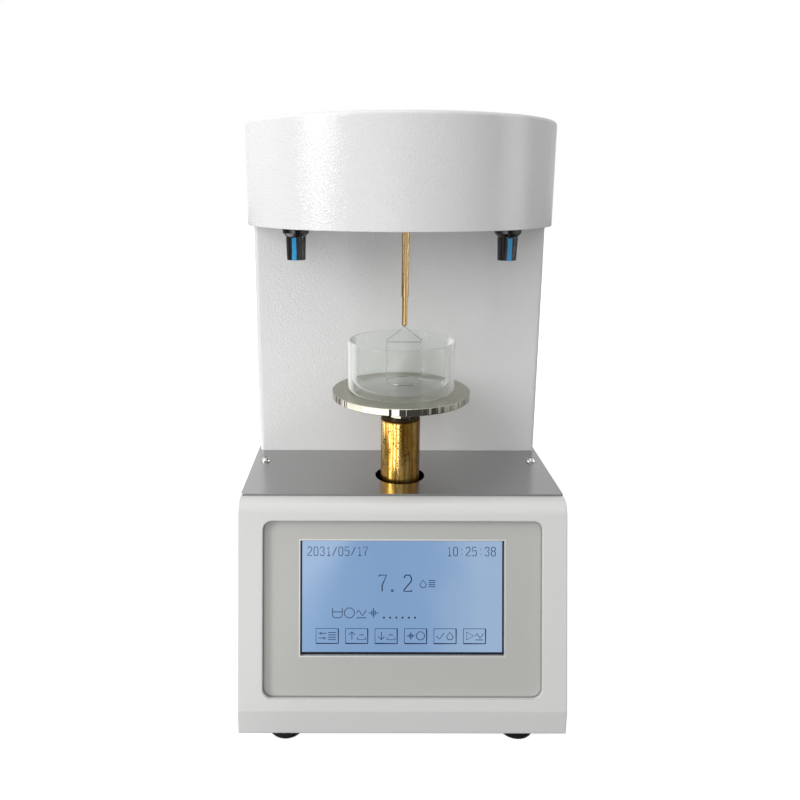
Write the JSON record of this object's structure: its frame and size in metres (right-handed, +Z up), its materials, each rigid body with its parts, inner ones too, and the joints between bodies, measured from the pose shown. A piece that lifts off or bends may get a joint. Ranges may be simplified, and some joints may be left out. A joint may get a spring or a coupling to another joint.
{
  "type": "surface tensiometer",
  "caption": "Bench surface tensiometer: sloping touch-screen base, round-fronted head on a column, wire ring hung over a glass dish on a motor-lifted table.",
  "frame": {"origin": "on the bench top, under the middle of the whole instrument's box; the lift axis is at Y = -0.0312 m", "axes": "+Z up, -Y towards the user and the sloping screen, +X to the user's right"},
  "size_m": [0.1836, 0.1816, 0.323],
  "materials": {
    "powder_coat": "textured powder coat",
    "zinc_plate": "zinc plated",
    "aluminium": "satin anodised",
    "bright_steel": "polished",
    "satin_steel": "satin",
    "grey_panel": "smooth satin",
    "screen_glass": "lit touch glass",
    "circuit_board": "circuit board",
    "foot_plastic": "ribbed",
    "knob_plastic": "satin",
    "blue_plastic": "smooth",
    "pot_metal": "moulded",
    "bright_brass": "turned",
    "platinum": "drawn wire",
    "clear_glass": "clear",
    "aged_brass": "turned, tarnished",
    "bronze": "sintered",
    "motor_black": "satin",
    "connector_plastic": "moulded",
    "rocker_plastic": "moulded",
    "connector_metal": "plated"
  },
  "bodies": {
    "frame": {"base_housing": "powder_coat", "bottom_plate": "zinc_plate", "base_screws": "bright_steel", "deck_plate": "satin_steel", "deck_screws": "bright_steel", "front_panel": "grey_panel", "panel_nuts": "bright_steel", "touch_screen": "screen_glass", "lcd_module": "circuit_board", "foot_nuts": "bright_steel", "column_frame": "zinc_plate", "column_cover": "powder_coat", "column_back": "powder_coat", "column_screws": "bright_steel", "head_floor": "zinc_plate", "head_cover": "powder_coat", "head_screws": "bright_steel", "left_potentiometer": "pot_metal", "right_potentiometer": "pot_metal", "potentiometer_nuts": "bright_steel", "force_sensor": "aluminium", "sensor_block": "aluminium", "sensor_board": "circuit_board", "sensor_hook": "bright_brass", "hook_pin": "bright_steel", "guide_rods": "bright_steel", "guide_plate": "aluminium", "column_bush": "bronze", "lift_motor": "motor_black", "motor_plate": "aluminium", "plate_posts": "bright_steel", "limit_switches": "pot_metal", "main_board": "circuit_board", "power_supply": "zinc_plate", "power_inlet": "connector_plastic", "switch_frame": "connector_plastic", "serial_port": "connector_metal"},
    "lift": {"lift_column": "aged_brass", "lift_carriage": "aluminium", "lift_nut": "bright_brass", "carriage_bushes": "bronze"},
    "table": {"sample_table": "satin_steel", "sample_dish": "clear_glass"},
    "screw": {"lead_screw": "bright_steel"},
    "link": {"suspension_link": "bright_brass"},
    "rod": {"suspension_rod": "bright_brass", "link_pin": "bright_steel", "ring_shank": "bright_brass", "measuring_ring": "platinum"},
    "left_knob": {"left_knob": "knob_plastic", "left_pointer_cap": "blue_plastic", "left_shaft": "bright_steel"},
    "right_knob": {"right_knob": "knob_plastic", "right_pointer_cap": "blue_plastic", "right_shaft": "bright_steel"},
    "rocker": {"switch_rocker": "rocker_plastic"},
    "foot_front_left": {"foot_front_left": "foot_plastic"},
    "foot_front_right": {"foot_front_right": "foot_plastic"},
    "foot_rear_left": {"foot_rear_left": "foot_plastic"},
    "foot_rear_right": {"foot_rear_right": "foot_plastic"}
  },
  "joints": [
    {"name": "lift_slide", "type": "slide", "parent": "frame", "child": "lift", "axis": [0, 0, 1], "range_m": [-0.03, 0.0015]},
    {"name": "lead_screw_turn", "type": "hinge", "parent": "frame", "child": "screw", "pos_m": [0, -0.03122, 0.06], "axis": [0, 0, 1], "range_deg": [-271, 5401]},
    {"name": "table_turn", "type": "hinge", "parent": "lift", "child": "table", "pos_m": [0, -0.03122, 0.15], "axis": [0, 0, 1], "continuous": true},
    {"name": "link_sway", "type": "hinge", "parent": "frame", "child": "link", "pos_m": [0.0015, -0.03122, 0.288], "axis": [1, 0, 0], "range_deg": [-5, 5]},
    {"name": "rod_swing", "type": "hinge", "parent": "link", "child": "rod", "pos_m": [0.0015, -0.03122, 0.28], "axis": [0, 1, 0], "range_deg": [-5, 5]},
    {"name": "left_knob_turn", "type": "hinge", "parent": "frame", "child": "left_knob", "pos_m": [-0.058, -0.01922, 0.256], "axis": [0, 0, 1], "range_deg": [-144, 156]},
    {"name": "right_knob_turn", "type": "hinge", "parent": "frame", "child": "right_knob", "pos_m": [0.058, -0.01922, 0.256], "axis": [0, 0, 1], "range_deg": [-154, 146]},
    {"name": "switch_rock", "type": "hinge", "parent": "frame", "child": "rocker", "pos_m": [0, 0.08278, 0.04], "axis": [-1, 0, 0], "range_deg": [0, 18]},
    {"name": "foot_front_left_turn", "type": "hinge", "parent": "frame", "child": "foot_front_left", "pos_m": [-0.062, -0.08022, 0.003], "axis": [0, 0, 1], "continuous": true},
    {"name": "foot_front_right_turn", "type": "hinge", "parent": "frame", "child": "foot_front_right", "pos_m": [0.062, -0.08022, 0.003], "axis": [0, 0, 1], "continuous": true},
    {"name": "foot_rear_left_turn", "type": "hinge", "parent": "frame", "child": "foot_rear_left", "pos_m": [-0.062, 0.06378, 0.003], "axis": [0, 0, 1], "continuous": true},
    {"name": "foot_rear_right_turn", "type": "hinge", "parent": "frame", "child": "foot_rear_right", "pos_m": [0.062, 0.06378, 0.003], "axis": [0, 0, 1], "continuous": true}
  ],
  "couplings": [
    {"joint": "lead_screw_turn", "follows": "lift_slide", "rad_per_m": -3141.6}
  ]
}
